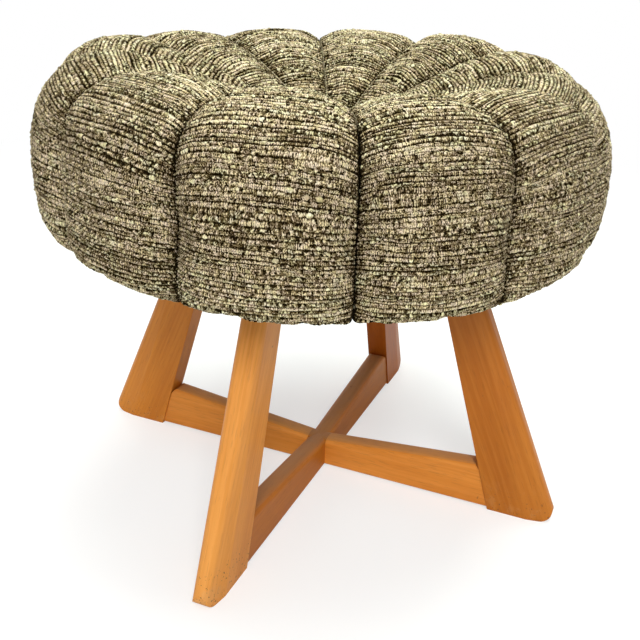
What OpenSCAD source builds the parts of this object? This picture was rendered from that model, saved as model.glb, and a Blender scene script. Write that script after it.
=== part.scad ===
// Round channel-tufted stool on four splayed wooden legs.
// The origin is on the floor, under the middle of the seat. The legs stand along +X, +Y, -X and -Y.

/* [Legs] */
// Height of the legs, up to the seat board's dust cover
leg_h = 287; // [270:1:310]
// Thickness of the leg stock
leg_t = 25.4; // [22:0.2:30]
// Radius of the circle that the toes stand on
toe_r = 276; // [262:1:290]
// Length of the sole, from toe to heel
sole_w = 74; // [62:1:84]
// Width of a leg at its top
leg_top_w = 33.3; // [28:0.1:42]
// Radius of the circle that the inner edges reach at the top
throat_r = 115.6; // [100:0.1:130]
// Radius of the rounded toe, seen from the side
toe_round = 12; // [6:1:16]
// Width of the bevels beside the outer edge, at the floor
bevel_w = 31.5; // [28.5:0.5:34]
// Slope of the bevels, in degrees
bevel_angle = 11; // [7:0.5:12]
// Width of the bevels at the top of a leg
bevel_top_w = 3.4; // [0:0.2:8]
// Radius of the rounding on both sides of the outer edge
nose_round = 8; // [4:0.5:8]

/* [Stretchers] */
// Thickness of the stretchers
stretcher_t = 22.5; // [18:0.5:26]
// Gap between the stretchers and the floor
stretcher_lift = 2.7; // [1:0.1:8]
// Height of the top edge where the stretchers cross
stretcher_mid_h = 33; // [28:0.5:40]
// Rise of the top edge for each millimetre towards a leg
stretcher_rise = 0.1; // [0.05:0.01:0.14]
// Depth of the crown that is shaped along the top edge
stretcher_crown = 6; // [3:0.5:8]
// Width left flat along the middle of the top edge
stretcher_flat = 3; // [2:0.5:6]
// Radius of the top corner beside a leg
stretcher_end_round = 12; // [6:1:16]

/* [Seat rails] */
// Thickness of the rails under the seat
rail_t = 22.5; // [18:0.5:25]
// Height of the rails under the seat
rail_h = 45; // [40:1:55]

/* [Dowels and screws] */
// Diameter of the dowels
dowel_d = 9.5; // [8:0.5:10]
// Depth of a dowel in each of the two pieces that it joins
dowel_depth = 20; // [14:1:22]
// Spacing of the two dowels in a joint
dowel_pitch = 20; // [18:0.5:24]
// Distance of the screws from the middle of the seat
screw_r = 65; // [50:1:85]
// Diameter of the screw shanks
screw_d = 4.8; // [4:0.2:6]
// Diameter of the screw heads
screw_head_d = 9; // [8:0.5:10]
// Length of a screw under its head
screw_len = 38; // [34:1:40]
// Wood of the rail between a screw's head and the top of the rail
screw_grip = 25; // [22:1:26]

/* [Seat board] */
// Radius of the plywood board
board_r = 222; // [212:1:228]
// Thickness of the board
board_t = 18; // [16:1:24]
// Thickness of the cloth hem that is turned under the board
hem_t = 1.8; // [1:0.1:2.5]
// Width of the hem
hem_w = 32; // [24:1:40]
// Thickness of the dust cover
dust_t = 0.8; // [0.5:0.1:1.2]
// Number of tacks in the hem
hem_tacks_n = 30; // [20:1:40]
// Number of tacks in the dust cover
dust_tacks_n = 20; // [12:1:28]
// Diameter of a tack's head
tack_head_d = 8; // [6:0.5:9]
// Length of a tack's shank
tack_len = 11; // [9:1:13]

/* [Cushion] */
// Diameter over the channels at their widest
seat_d = 550; // [535:1:580]
// Height of the crest above the underside of the board
crest_h = 162; // [150:1:176]
// Radius of the circle that the crest runs on
crest_r = 199; // [184:1:212]
// Height of the widest circle above the underside of the board
belly_h = 67; // [56:1:78]
// Depth that the channels hang below the underside of the board
sag = 1; // [0.4:0.2:5]
// Depth of the middle of the seat below the crest
pinch_drop = 83; // [70:1:88]
// Depth of the seams between channels at the side
seam_side = 28; // [20:1:32]
// Depth of the seams on the crest
seam_top = 14; // [10:0.5:17]
// Depth of the seams on the shoulder, between the crest and the side
seam_shoulder = 11; // [8:0.5:16]
// Depth of the seams on the slope down to the button
seam_slope = 7; // [4:0.5:10]
// Depth of the seams at the underside
seam_under = 4; // [2:0.5:8]
// Direction of the first seam, in degrees from +X
first_seam = -126; // [-180:1:180]
// Top radius of the padding core
core_top_r = 60; // [45:1:75]
// Bottom radius of the padding core
core_foot_r = 190; // [175:1:200]
// Height of the padding core
core_h = 36; // [28:1:42]

/* [Button] */
// Diameter of the covered button
button_d = 30; // [26:1:32]
// Height of the covered button
button_h = 8; // [6:0.5:11]
// Diameter of the twine
twine_d = 2.5; // [2:0.1:3.5]
// Diameter of the washer under the board
washer_d = 25; // [20:1:32]

/* [Hidden] */

// Clearances: a glued or driven fit, and the air between soft pieces and their neighbours
fit_gap = 0.1;
lap_fit = 0.1;
soft_gap = 0.3;
// Extra length where one solid cuts another
over = 1;
round_fn = 48;

// Legs
heel_r = toe_r - sole_w;
shoulder_r = throat_r + leg_top_w;
leg_lean = atan((toe_r - shoulder_r) / leg_h);
bevel_lean = atan((toe_r - bevel_w - shoulder_r + bevel_top_w) / leg_h);
// Half the width of the outer edge at the floor, between the bevels
tip_half = leg_t / 2 - bevel_w * tan(bevel_angle) * cos(bevel_lean);
// The bevels widen downwards, so their lower arris turns away from the outer edge by this much
bevel_turn = atan(tan(bevel_angle) * sin(leg_lean - bevel_lean));
bevel_tilt = asin(sin(bevel_angle) * cos(leg_lean - bevel_lean));
leg_reach = leg_h * 1.4;

// Dowels: heights of the lower dowel of each pair
dowel_foot = 9;
low_dowel_z = stretcher_lift + dowel_foot;
high_dowel_z = leg_h - rail_h / 2 - dowel_pitch / 2;

// Screws
screw_head_h = 3.5;
screw_slot_w = 1.2;
screw_bore_gap = 1.5;
screw_bore_d = screw_head_d + 2 * screw_bore_gap;
screw_seat_z = leg_h - screw_grip;
screw_tip_z = screw_seat_z + screw_len;

// Levels of the seat
board_z = leg_h + dust_t;
board_top = board_z + board_t;
hem_r = board_r - hem_w;
hem_clearance = 2;
tack_margin = 7;
dust_r = hem_r - hem_clearance;
tack_shank_d = 1.6;
tack_head_h = 1.2;
hem_tack_r = hem_r + hem_w / 2;
dust_tack_r = dust_r - tack_margin;

// Cushion: the crest line of a channel in the radial plane
seat_r = seat_d / 2;
crest_z = board_z + crest_h;
belly_z = board_z + belly_h;
low_z = board_z - sag;
roll_w = 25;
low_r = board_r + roll_w;
pinch_r = 10;
button_margin = 1.5;
button_seat_r = button_d / 2 + button_margin;
pinch_z = crest_z - pinch_drop;
upper_power = 2.4;
lower_power = 2.3;
ramp_power = 1.4;
// Width of each channel in degrees, from the first seam on: sewn by hand, they are not quite alike
channel_spans = [32, 31.5, 29, 29, 34, 26, 30.5, 31, 31, 32, 26, 28];
// How far the stuffing swells the middle of each channel out, in the same order
channel_swells = [-1, 1, -1, -4, -5, 0, 4, -1, -3, -4, 3, 3];
// Steps along a channel, over its ramp, shoulder and belly, and across it
ramp_steps = 7;
shoulder_steps = 9;
belly_steps = 9;
across_steps = 10;

// Padding core
core_top_z = board_top + core_h;
twine_hole_gap = 1.5;
twine_hole_d = twine_d + 2 * twine_hole_gap;

// Button and its tie
button_z = pinch_z + soft_gap;
back_t = 2;
washer_t = 2;
washer_gap = 2;
recess_t = 5;
washer_z = board_z + recess_t - washer_t;

wood = [0.80, 0.53, 0.29];
inner_wood = [0.72, 0.55, 0.36];
cloth = [0.55, 0.50, 0.37];
steel = [0.62, 0.62, 0.60];
black_cloth = [0.12, 0.12, 0.12];
wadding = [0.86, 0.82, 0.70];
jute = [0.70, 0.60, 0.42];

function unit(v) = v / norm(v);

// Points of an arc of radius r that rounds the corner b between a and c
function corner(a, b, c, r, steps = 8) =
    let (
        u = unit(a - b),
        v = unit(c - b),
        half = acos(u * v) / 2,
        mid = b + unit(u + v) * r / sin(half),
        start = b + u * r / tan(half) - mid,
        stop = b + v * r / tan(half) - mid,
        a0 = atan2(start.y, start.x),
        turn = atan2(start.x * stop.y - start.y * stop.x, start * stop)
    )
    [for (i = [0:steps]) mid + r * [cos(a0 + turn * i / steps), sin(a0 + turn * i / steps)]];

// Inner edge of a leg at a height
function inner_edge(z) = heel_r - (heel_r - throat_r) * z / leg_h;

// Stands a radial drawing, x outwards and y up, as a slab of thickness t
module radial_slab(t) {
    rotate([90, 0, 0]) linear_extrude(t, center = true) children();
}

// The space inside the outer edge and the bevel on one side of a leg, with the arris between them rounded
module bevelled_side() {
    inward = leg_reach * [-cos(bevel_tilt), sin(bevel_tilt)];
    down = [0, -leg_reach];
    arris = corner(inward, [0, 0], down, nose_round);
    translate([toe_r, tip_half, 0]) rotate([0, -leg_lean, 0]) rotate([-bevel_turn, 0, 0])
        translate([0, 0, -leg_reach]) linear_extrude(3 * leg_reach)
            polygon(concat([inward], arris, [down, [-leg_reach, -leg_reach]]));
}

module leg_outline() {
    heel = [heel_r, 0];
    toe = [toe_r, 0];
    shoulder = [shoulder_r, leg_h];
    throat = [throat_r, leg_h];
    polygon(concat([heel], corner(heel, toe, shoulder, toe_round), [shoulder, throat]));
}

// Holes for the two dowels of a joint on the leg's inner edge, the lower one at height z
module dowel_holes(z) {
    for (i = [0, 1]) {
        h = z + i * dowel_pitch;
        translate([inner_edge(h) - dowel_depth - over, 0, h])
            rotate([0, 90, 0])
                cylinder(h = 2 * (dowel_depth + over), d = dowel_d + 2 * fit_gap, $fn = round_fn);
    }
}

module dowels(z) {
    for (i = [0, 1]) {
        h = z + i * dowel_pitch;
        translate([inner_edge(h) - dowel_depth, 0, h])
            rotate([0, 90, 0]) cylinder(h = 2 * dowel_depth, d = dowel_d, $fn = round_fn);
    }
}

// One leg, standing towards +X
module leg() {
    color(wood) difference() {
        intersection() {
            radial_slab(leg_t) leg_outline();
            bevelled_side();
            mirror([0, 1, 0]) bevelled_side();
        }
        dowel_holes(low_dowel_z);
        dowel_holes(high_dowel_z);
    }
}

// Half of a stretcher in the radial plane, from the crossing out to a leg
module stretcher_outline() {
    lean_in = (heel_r - throat_r) / leg_h;
    end_h = (stretcher_mid_h + stretcher_rise * heel_r) / (1 + stretcher_rise * lean_in);
    foot = [inner_edge(stretcher_lift), stretcher_lift];
    head = [inner_edge(end_h), end_h];
    middle = [0, stretcher_mid_h];
    polygon(concat([[0, stretcher_lift], foot], corner(foot, head, middle, stretcher_end_round), [middle]));
}

// Section of a stretcher with its crowned top edge at y = 0
module stretcher_section() {
    half_t = stretcher_t / 2;
    half_flat = stretcher_flat / 2;
    crown = [for (i = [0:6]) let (a = 90 * i / 6)
        [half_flat + (half_t - half_flat) * sin(a), stretcher_crown * (cos(a) - 1)]];
    side = concat(crown, [[half_t, -leg_h]]);
    polygon(concat([for (i = [len(side) - 1:-1:0]) [-side[i].x, side[i].y]], side));
}

module half_stretcher() {
    intersection() {
        radial_slab(stretcher_t) stretcher_outline();
        translate([0, 0, stretcher_mid_h]) rotate([0, -atan(stretcher_rise), 0])
            translate([-stretcher_mid_h, 0, 0]) rotate([90, 0, 90])
                linear_extrude(heel_r * 1.5) stretcher_section();
    }
}

// A whole stretcher along X, before its half lap is cut
module stretcher_bar() {
    half_stretcher();
    mirror([1, 0, 0]) half_stretcher();
}

// The square where two bars of thickness t cross, from height z0 to z1
module crossing(t, z0, z1) {
    translate([-t / 2, -t / 2, z0]) cube([t, t, z1 - z0]);
}

lap_z = (stretcher_lift + stretcher_mid_h) / 2;

// The stretcher along X, cut away above its half lap
module stretcher_under() {
    color(wood) difference() {
        stretcher_bar();
        crossing(stretcher_t, lap_z, leg_h);
        for (a = [0, 180]) rotate(a) dowel_holes(low_dowel_z);
    }
}

// The stretcher along Y, cut away below its half lap. Its crown is mitred into the other's.
module stretcher_over() {
    color(wood) difference() {
        union() {
            rotate(90) stretcher_bar();
            intersection() {
                translate([0, 0, -lap_fit]) stretcher_bar();
                crossing(stretcher_t - 2 * lap_fit, lap_z, leg_h);
            }
        }
        crossing(stretcher_t, -over, lap_z);
        for (a = [90, 270]) rotate(a) dowel_holes(low_dowel_z);
    }
}

module stretcher_dowels() {
    color(inner_wood) for (a = [0:90:270]) rotate(a) dowels(low_dowel_z);
}

module seat_rail_bar() {
    foot_z = leg_h - rail_h;
    radial_slab(rail_t) polygon([
        [-inner_edge(foot_z), foot_z], [inner_edge(foot_z), foot_z],
        [inner_edge(leg_h), leg_h], [-inner_edge(leg_h), leg_h]
    ]);
}

// Stepped holes for the two screws of a rail
module rail_screw_holes() {
    for (side = [-1, 1]) translate([side * screw_r, 0, 0]) {
        cylinder(h = screw_seat_z, d = screw_bore_d, $fn = round_fn);
        cylinder(h = leg_h + over, d = screw_d + 2 * fit_gap, $fn = round_fn);
    }
}

rail_lap_z = leg_h - rail_h / 2;

module seat_rail_under() {
    color(wood) difference() {
        seat_rail_bar();
        crossing(rail_t, rail_lap_z, leg_h + over);
        rail_screw_holes();
        for (a = [0, 180]) rotate(a) dowel_holes(high_dowel_z);
    }
}

module seat_rail_over() {
    color(wood) rotate(90) difference() {
        seat_rail_bar();
        crossing(rail_t, 0, rail_lap_z);
        rail_screw_holes();
        for (a = [0, 180]) rotate(a) dowel_holes(high_dowel_z);
    }
}

module seat_rail_dowels() {
    color(inner_wood) for (a = [0:90:270]) rotate(a) dowels(high_dowel_z);
}

module seat_screws() {
    color(steel) for (a = [0:90:270]) rotate(a) translate([screw_r, 0, 0]) {
        difference() {
            translate([0, 0, screw_seat_z - screw_head_h])
                cylinder(h = screw_head_h, d = screw_head_d, $fn = round_fn);
            translate([-screw_head_d, -screw_slot_w / 2, screw_seat_z - screw_head_h - over])
                cube([2 * screw_head_d, screw_slot_w, screw_head_h / 2 + over]);
        }
        translate([0, 0, screw_seat_z - screw_head_h / 2])
            cylinder(h = screw_len + screw_head_h / 2, d = screw_d, $fn = round_fn);
    }
}

// A ring of tacks driven upwards, their heads under the height z
module tacks(count, r, z) {
    for (i = [0:count - 1]) rotate(i * 360 / count) translate([r, 0, 0]) {
        translate([0, 0, z - tack_head_h]) cylinder(h = tack_head_h, d = tack_head_d, $fn = 24);
        translate([0, 0, z - tack_head_h]) cylinder(h = tack_len + tack_head_h, d = tack_shank_d, $fn = 16);
    }
}

module tack_holes(count, r, z, depth) {
    for (i = [0:count - 1]) rotate(i * 360 / count) translate([r, 0, z])
        cylinder(h = depth, d = tack_shank_d + 2 * fit_gap, $fn = 16);
}

module seat_screw_holes(z, depth) {
    for (a = [0:90:270]) rotate(a) translate([screw_r, 0, z])
        cylinder(h = depth, d = screw_d + 2 * fit_gap, $fn = round_fn);
}

module dust_cover() {
    color(black_cloth) difference() {
        translate([0, 0, board_z - dust_t]) cylinder(h = dust_t, r = dust_r, $fn = 96);
        seat_screw_holes(board_z - dust_t - over, dust_t + 2 * over);
        tack_holes(dust_tacks_n, dust_tack_r, board_z - dust_t - over, dust_t + 2 * over);
    }
}

module dust_cover_tacks() {
    color(steel) tacks(dust_tacks_n, dust_tack_r, board_z - dust_t);
}

module cover_hem() {
    color(cloth) difference() {
        translate([0, 0, board_z - hem_t]) cylinder(h = hem_t, r = board_r, $fn = 96);
        translate([0, 0, board_z - hem_t - over]) cylinder(h = hem_t + 2 * over, r = hem_r, $fn = 96);
        tack_holes(hem_tacks_n, hem_tack_r, board_z - hem_t - over, hem_t + 2 * over);
    }
}

module hem_tacks() {
    color(steel) tacks(hem_tacks_n, hem_tack_r, board_z - hem_t);
}

module seat_board() {
    color(inner_wood) difference() {
        translate([0, 0, board_z]) cylinder(h = board_t, r = board_r, $fn = 96);
        seat_screw_holes(board_z - over, screw_tip_z - board_z + over + fit_gap);
        tack_holes(dust_tacks_n, dust_tack_r, board_z - over, tack_len + over);
        tack_holes(hem_tacks_n, hem_tack_r, board_z - over, tack_len + over);
        translate([0, 0, board_z - over])
            cylinder(h = recess_t + over, d = washer_d + 2 * washer_gap, $fn = round_fn);
        translate([0, 0, board_z]) cylinder(h = board_t + over, d = twine_hole_d, $fn = round_fn);
    }
}

module padding_core() {
    color(wadding) translate([0, 0, board_top]) difference() {
        cylinder(h = core_h, r1 = core_foot_r, r2 = core_top_r, $fn = 96);
        translate([0, 0, -over]) cylinder(h = core_h + 2 * over, d = twine_hole_d, $fn = round_fn);
    }
}

// The twine, with the knot that holds it in the washer
module button_twine() {
    knot_h = washer_z - board_z - soft_gap;
    knot_z = washer_z - knot_h;
    color(jute) translate([0, 0, knot_z]) {
        cylinder(h = button_z - back_t - knot_z, d = twine_d, $fn = 24);
        cylinder(h = knot_h, d = 3 * twine_d, $fn = 24);
    }
}

module twine_washer() {
    color(steel) translate([0, 0, washer_z]) difference() {
        cylinder(h = washer_t, d = washer_d, $fn = round_fn);
        translate([0, 0, -over]) cylinder(h = washer_t + 2 * over, d = twine_d + 2 * fit_gap, $fn = round_fn);
    }
}

module button_back() {
    color(steel) translate([0, 0, button_z - back_t])
        cylinder(h = back_t, r = pinch_r - 2 * soft_gap, $fn = round_fn);
}

// The covered button: a low dome with a rounded rim
module centre_button() {
    r = button_d / 2;
    rim = button_h / 3;
    dome = [for (i = [0:10]) let (a = 90 * i / 10) [r * cos(a), rim + (button_h - rim) * sin(a)]];
    color(cloth) translate([0, 0, button_z])
        rotate_extrude($fn = round_fn) polygon(concat([[0, 0], [r - rim / 2, 0]], dome));
}

// Crest line of a channel as [radius, height], from the button over the crest and down to the board's edge
crest_line = concat(
    [[pinch_r, pinch_z], [button_seat_r, pinch_z]],
    [for (i = [1:ramp_steps]) let (a = 90 * i / ramp_steps)
        [crest_r - (crest_r - button_seat_r) * pow(max(cos(a), 0), 2 / ramp_power),
         pinch_z + pinch_drop * pow(sin(a), 2 / ramp_power)]],
    [for (i = [1:shoulder_steps]) let (a = 90 * i / shoulder_steps)
        [crest_r + (seat_r - crest_r) * pow(sin(a), 2 / upper_power),
         belly_z + (crest_z - belly_z) * pow(max(cos(a), 0), 2 / upper_power)]],
    [for (i = [1:belly_steps]) let (a = 90 * i / belly_steps)
        [low_r + (seat_r - low_r) * pow(max(cos(a), 0), 2 / lower_power),
         belly_z - (belly_z - low_z) * pow(sin(a), 2 / lower_power)]],
    [[board_r + soft_gap, low_z + sag / 2]]
);
last = len(crest_line) - 1;
crest_at = 1 + ramp_steps;
belly_at = crest_at + shoulder_steps;

// Depth of the seam beside each point of the crest line
function seam_depth(i) = lookup(i, [[0, 0], [1, 0], [3, seam_slope / 2], [5, seam_slope],
    [crest_at, seam_top], [(crest_at + belly_at) / 2, seam_shoulder], [belly_at, seam_side],
    [last - 1, seam_under], [last, 0]]);

function crest_normal(i) =
    let (d = unit(crest_line[min(i + 1, last)] - crest_line[max(i - 1, 0)])) [-d.y, d.x];

// Point i of a channel, u from -1 at one seam to 1 at the next. The seams draw it in, and its stuffing swells it out.
function channel_point(i, u, from, span, swell) =
    let (
        arch = 1 - sqrt(1 - u * u),
        swollen = swell * (1 - arch) * min(i / crest_at, 1) * min((last - i) / belly_steps, 1),
        p = crest_line[i] - crest_normal(i) * (seam_depth(i) * arch - swollen),
        a = from + span * (u + 1) / 2
    )
    [p.x * cos(a) + u * soft_gap / 2 * sin(a), p.x * sin(a) - u * soft_gap / 2 * cos(a), p.y];

// Inside line of a channel, over the core and round the board's edge
inside_line = [
    [pinch_r, core_top_z + soft_gap],
    [core_top_r + soft_gap, core_top_z + soft_gap],
    [core_foot_r + soft_gap, board_top + soft_gap],
    [board_r + soft_gap, board_top + soft_gap]
];

function inside_point(i, u, from, span) =
    let (p = inside_line[i], a = from + span * (u + 1) / 2)
    [p.x * cos(a) + u * soft_gap / 2 * sin(a), p.x * sin(a) - u * soft_gap / 2 * cos(a), p.y];

// Which inside point each stretch of the crest line is capped to
function inside_of(i) = i <= 3 ? 0 : i < crest_at ? 1 : i < belly_at ? 2 : 3;

// One stuffed channel of the cover between two seams, closed at both seams and inside
module channel(from, span, swell) {
    outer_n = last + 1;
    ring_n = outer_n + len(inside_line);
    points = [for (j = [0:across_steps]) let (u = sin(90 * (2 * j / across_steps - 1)))
        each concat(
            [for (i = [0:last]) channel_point(i, u, from, span, swell)],
            [for (i = [len(inside_line) - 1:-1:0]) inside_point(i, u, from, span)]
        )];
    skin = [for (j = [0:across_steps - 1], i = [0:ring_n - 1])
        let (a = j * ring_n + i, b = j * ring_n + (i + 1) % ring_n)
        each [[a, b, b + ring_n], [a, b + ring_n, a + ring_n]]];
    cap = [for (i = [0:last - 1])
        let (inside = ring_n - 1 - inside_of(i), next = ring_n - 1 - inside_of(i + 1))
        each concat([[i, inside, i + 1]], inside == next ? [] : [[i + 1, inside, next]])];
    far = across_steps * ring_n;
    far_cap = [for (f = cap) [f[0] + far, f[2] + far, f[1] + far]];
    color(cloth) polyhedron(points, concat(skin, cap, far_cap), convexity = 6);
}

// Direction of the seam where channel k starts
function seam(k) = k == 0 ? first_seam : seam(k - 1) + channel_spans[k - 1];

module numbered_channel(k) {
    channel(seam(k), channel_spans[k], channel_swells[k]);
}

leg();  // leg_right
rotate(90) leg();  // leg_back
rotate(180) leg();  // leg_left
rotate(270) leg();  // leg_front
stretcher_under();
stretcher_over();
stretcher_dowels();
seat_rail_under();
seat_rail_over();
seat_rail_dowels();
seat_screws();
dust_cover();
dust_cover_tacks();
cover_hem();
hem_tacks();
seat_board();
padding_core();
button_twine();
twine_washer();
button_back();
centre_button();
numbered_channel(0);  // channel_01
numbered_channel(1);  // channel_02
numbered_channel(2);  // channel_03
numbered_channel(3);  // channel_04
numbered_channel(4);  // channel_05
numbered_channel(5);  // channel_06
numbered_channel(6);  // channel_07
numbered_channel(7);  // channel_08
numbered_channel(8);  // channel_09
numbered_channel(9);  // channel_10
numbered_channel(10);  // channel_11
numbered_channel(11);  // channel_12
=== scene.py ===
import math
from collections import namedtuple

import bmesh
import bpy
import numpy as np
from mathutils import Matrix, Vector


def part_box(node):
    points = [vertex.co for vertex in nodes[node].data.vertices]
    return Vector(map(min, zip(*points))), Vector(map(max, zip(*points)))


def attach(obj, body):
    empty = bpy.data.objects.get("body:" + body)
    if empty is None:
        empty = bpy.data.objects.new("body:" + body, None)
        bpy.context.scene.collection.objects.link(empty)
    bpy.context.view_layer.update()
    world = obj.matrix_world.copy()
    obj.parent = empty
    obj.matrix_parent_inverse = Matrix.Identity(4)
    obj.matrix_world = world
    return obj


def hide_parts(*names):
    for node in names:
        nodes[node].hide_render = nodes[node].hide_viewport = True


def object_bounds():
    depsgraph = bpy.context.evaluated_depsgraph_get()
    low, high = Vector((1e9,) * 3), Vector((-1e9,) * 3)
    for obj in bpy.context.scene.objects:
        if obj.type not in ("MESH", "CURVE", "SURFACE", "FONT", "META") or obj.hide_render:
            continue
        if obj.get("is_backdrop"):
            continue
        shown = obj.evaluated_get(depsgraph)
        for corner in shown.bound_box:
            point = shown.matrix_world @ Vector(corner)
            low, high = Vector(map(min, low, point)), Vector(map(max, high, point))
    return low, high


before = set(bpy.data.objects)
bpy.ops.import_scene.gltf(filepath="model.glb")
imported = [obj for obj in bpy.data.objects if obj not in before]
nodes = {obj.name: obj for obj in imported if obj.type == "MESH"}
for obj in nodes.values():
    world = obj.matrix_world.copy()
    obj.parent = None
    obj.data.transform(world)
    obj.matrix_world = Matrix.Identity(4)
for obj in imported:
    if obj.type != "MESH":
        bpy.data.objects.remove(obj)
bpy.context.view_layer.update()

# Camera. It looks down at the stool from a step away, a little above it.
# The stool's front leg points a little to the camera's left.
camera_distance = 0.8608
camera_height = 0.5765
camera_bearing = math.radians(22.502)
camera_turn = math.radians(19.941)
camera_pitch = math.radians(25.383)
camera_roll = math.radians(3.098)
film_width = 36
lens_length = 49.74
lens_shift = (-0.0618, 0.0129)

camera = bpy.data.objects.new("camera", bpy.data.cameras.new("camera"))
bpy.context.scene.collection.objects.link(camera)
camera.data.sensor_width = film_width
camera.data.lens = lens_length
camera.data.shift_x, camera.data.shift_y = lens_shift
camera.data.clip_start = 0.05
place = Vector((math.sin(camera_bearing), -math.cos(camera_bearing), 0)) * camera_distance
place.z = camera_height
camera.matrix_world = (
    Matrix.Translation(place)
    @ Matrix.Rotation(camera_turn, 4, "Z")
    @ Matrix.Rotation(math.pi / 2 - camera_pitch, 4, "X")
    @ Matrix.Rotation(camera_roll, 4, "Z")
)
bpy.context.scene.camera = camera
bpy.context.scene.view_settings.view_transform = "Standard"


# Studio. A pale floor runs off to a white surround, and is clear from below. The lamps are large and
# soft: one high at the front right, a weak one at the left, and one above and behind the seat.
class Socket:
    """A value in a material. Sums and products of sockets and numbers add Math nodes."""

    def __init__(self, tree, socket):
        self.tree = tree
        self.socket = socket

    def math(self, operation, *values):
        node = self.tree.nodes.new("ShaderNodeMath")
        node.operation = operation
        for place, value in zip(node.inputs, values):
            plug(self.tree, value, place)
        return Socket(self.tree, node.outputs[0])

    def __add__(self, other):
        return self.math("ADD", self, other)

    def __radd__(self, other):
        return self.math("ADD", other, self)

    def __sub__(self, other):
        return self.math("SUBTRACT", self, other)

    def __rsub__(self, other):
        return self.math("SUBTRACT", other, self)

    def __mul__(self, other):
        return self.math("MULTIPLY", self, other)

    def __rmul__(self, other):
        return self.math("MULTIPLY", other, self)

    def __truediv__(self, other):
        return self.math("DIVIDE", self, other)

    def __rtruediv__(self, other):
        return self.math("DIVIDE", other, self)

    def whole(self):
        return self.math("FLOOR", self)

    def fraction(self):
        return self.math("FRACT", self)

    def distance(self, other):
        return self.math("ABSOLUTE", self - other)

    def most(self, other):
        return self.math("MAXIMUM", self, other)

    def over(self, low, high):
        """0 below low, 1 above high, and a smooth step between them."""
        node = self.tree.nodes.new("ShaderNodeMapRange")
        node.interpolation_type = "SMOOTHSTEP"
        for place, value in zip(node.inputs, (self, low, high, 0.0, 1.0)):
            plug(self.tree, value, place)
        return Socket(self.tree, node.outputs[0])


def plug(tree, value, place):
    """Links a socket to a node's input, or sets a plain value there."""
    if isinstance(value, Socket):
        tree.links.new(value.socket, place)
    elif value is not None:
        place.default_value = value


class Finish:
    """A material being put together, node by node."""

    def __init__(self, name, owner=None):
        self.owner = owner or bpy.data.materials.new(name)
        self.owner.use_nodes = True
        self.tree = self.owner.node_tree
        self.tree.nodes.clear()

    def node(self, kind, settings=None, sockets=None, output=0):
        """Adds a node of a kind, with its settings, then the values or links of its sockets."""
        made = self.tree.nodes.new("ShaderNode" + kind)
        for name, value in (settings or {}).items():
            if name == "stops":
                self.set_stops(made.color_ramp.elements, value)
            else:
                setattr(made, name, value)
        for name, value in (sockets or {}).items():
            plug(self.tree, value, made.inputs[name])
        return Socket(self.tree, made.outputs[output])

    def set_stops(self, elements, stops):
        """Sets a ramp's colours. The first stop is at 0 and the last at 1."""
        elements[0].color = stops[0][1]
        elements[-1].color = stops[-1][1]
        for place, colour in stops[1:-1]:
            elements.new(place).color = colour

    def blend(self, share, first, second):
        """A colour between two, at a share of the second."""
        return self.node("Mix", {"data_type": "RGBA"}, {0: share, 6: first, 7: second}, output=2)

    def place(self):
        """Where on the stool each point of the piece is."""
        return self.node("TexCoord", output="Object")

    def noise(self, place, scale, detail=2.0, roughness=0.5, kind="3D"):
        return self.node(
            "TexNoise",
            {"noise_dimensions": kind},
            {"Vector": place, "Scale": scale, "Detail": detail, "Roughness": roughness},
        )

    def stretched(self, place, scale):
        """A place with each of its axes scaled."""
        return self.node("Mapping", sockets={"Vector": place, "Scale": scale})

    def turned(self, place, angles):
        """A place as it is seen from axes that are turned."""
        return self.node("Mapping", {"vector_type": "TEXTURE"}, {"Vector": place, "Rotation": angles})

    def axis(self, vector, number):
        return self.node("SeparateXYZ", sockets={"Vector": vector}, output=number)

    def attribute(self, name):
        return self.node("Attribute", {"attribute_name": name}, output="Fac")

    def bump(self, strength, distance, height, edge=None):
        """A relief this far high, over the plain surface or over a softened edge."""
        sockets = {"Strength": strength, "Distance": distance, "Height": height, "Normal": edge}
        return self.node("Bump", sockets=sockets)

    def surface(self, colour, rough, normal, more=None):
        """Ends the material in an opaque surface."""
        sockets = {"Base Color": colour, "Roughness": rough, "Normal": normal, **(more or {})}
        return self.output(self.node("BsdfPrincipled", sockets=sockets))

    def output(self, surface, to="OutputMaterial"):
        """Ends the material, or the world, in a shader."""
        made = self.tree.nodes.new("ShaderNode" + to)
        self.tree.links.new(surface.socket, made.inputs["Surface"])
        return self.owner


def as_piece(shape, name):
    """Makes an object with smooth faces of a bmesh, and frees the bmesh."""
    for face in shape.faces:
        face.smooth = True
    mesh = bpy.data.meshes.new(name)
    shape.to_mesh(mesh)
    shape.free()
    piece = bpy.data.objects.new(name, mesh)
    bpy.context.scene.collection.objects.link(piece)
    return piece


white = (1.0, 1.0, 1.0, 1.0)
sky_strength = 0.45
floor_colour = (0.80, 0.80, 0.79, 1.0)
floor_shown = (0.55, 0.55, 0.545, 1.0)
floor_glow = 0.5
floor_reach = 40.0
fade_start, fade_end = 0.45, 1.6

surround = bpy.data.worlds.new("studio")
bpy.context.scene.world = surround
sky = Finish("sky", surround)
seen = sky.node("LightPath", output="Is Camera Ray").most(sky.node("LightPath", output="Is Glossy Ray"))
seen = seen.most(sky.node("LightPath", output="Is Transmission Ray"))
lit = sky.node("Background", sockets={"Color": white, "Strength": sky_strength})
backdrop = sky.node("Background", sockets={"Color": white, "Strength": 1.0})
sky.output(sky.node("MixShader", sockets={0: seen, 1: lit, 2: backdrop}), "OutputWorld")

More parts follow.
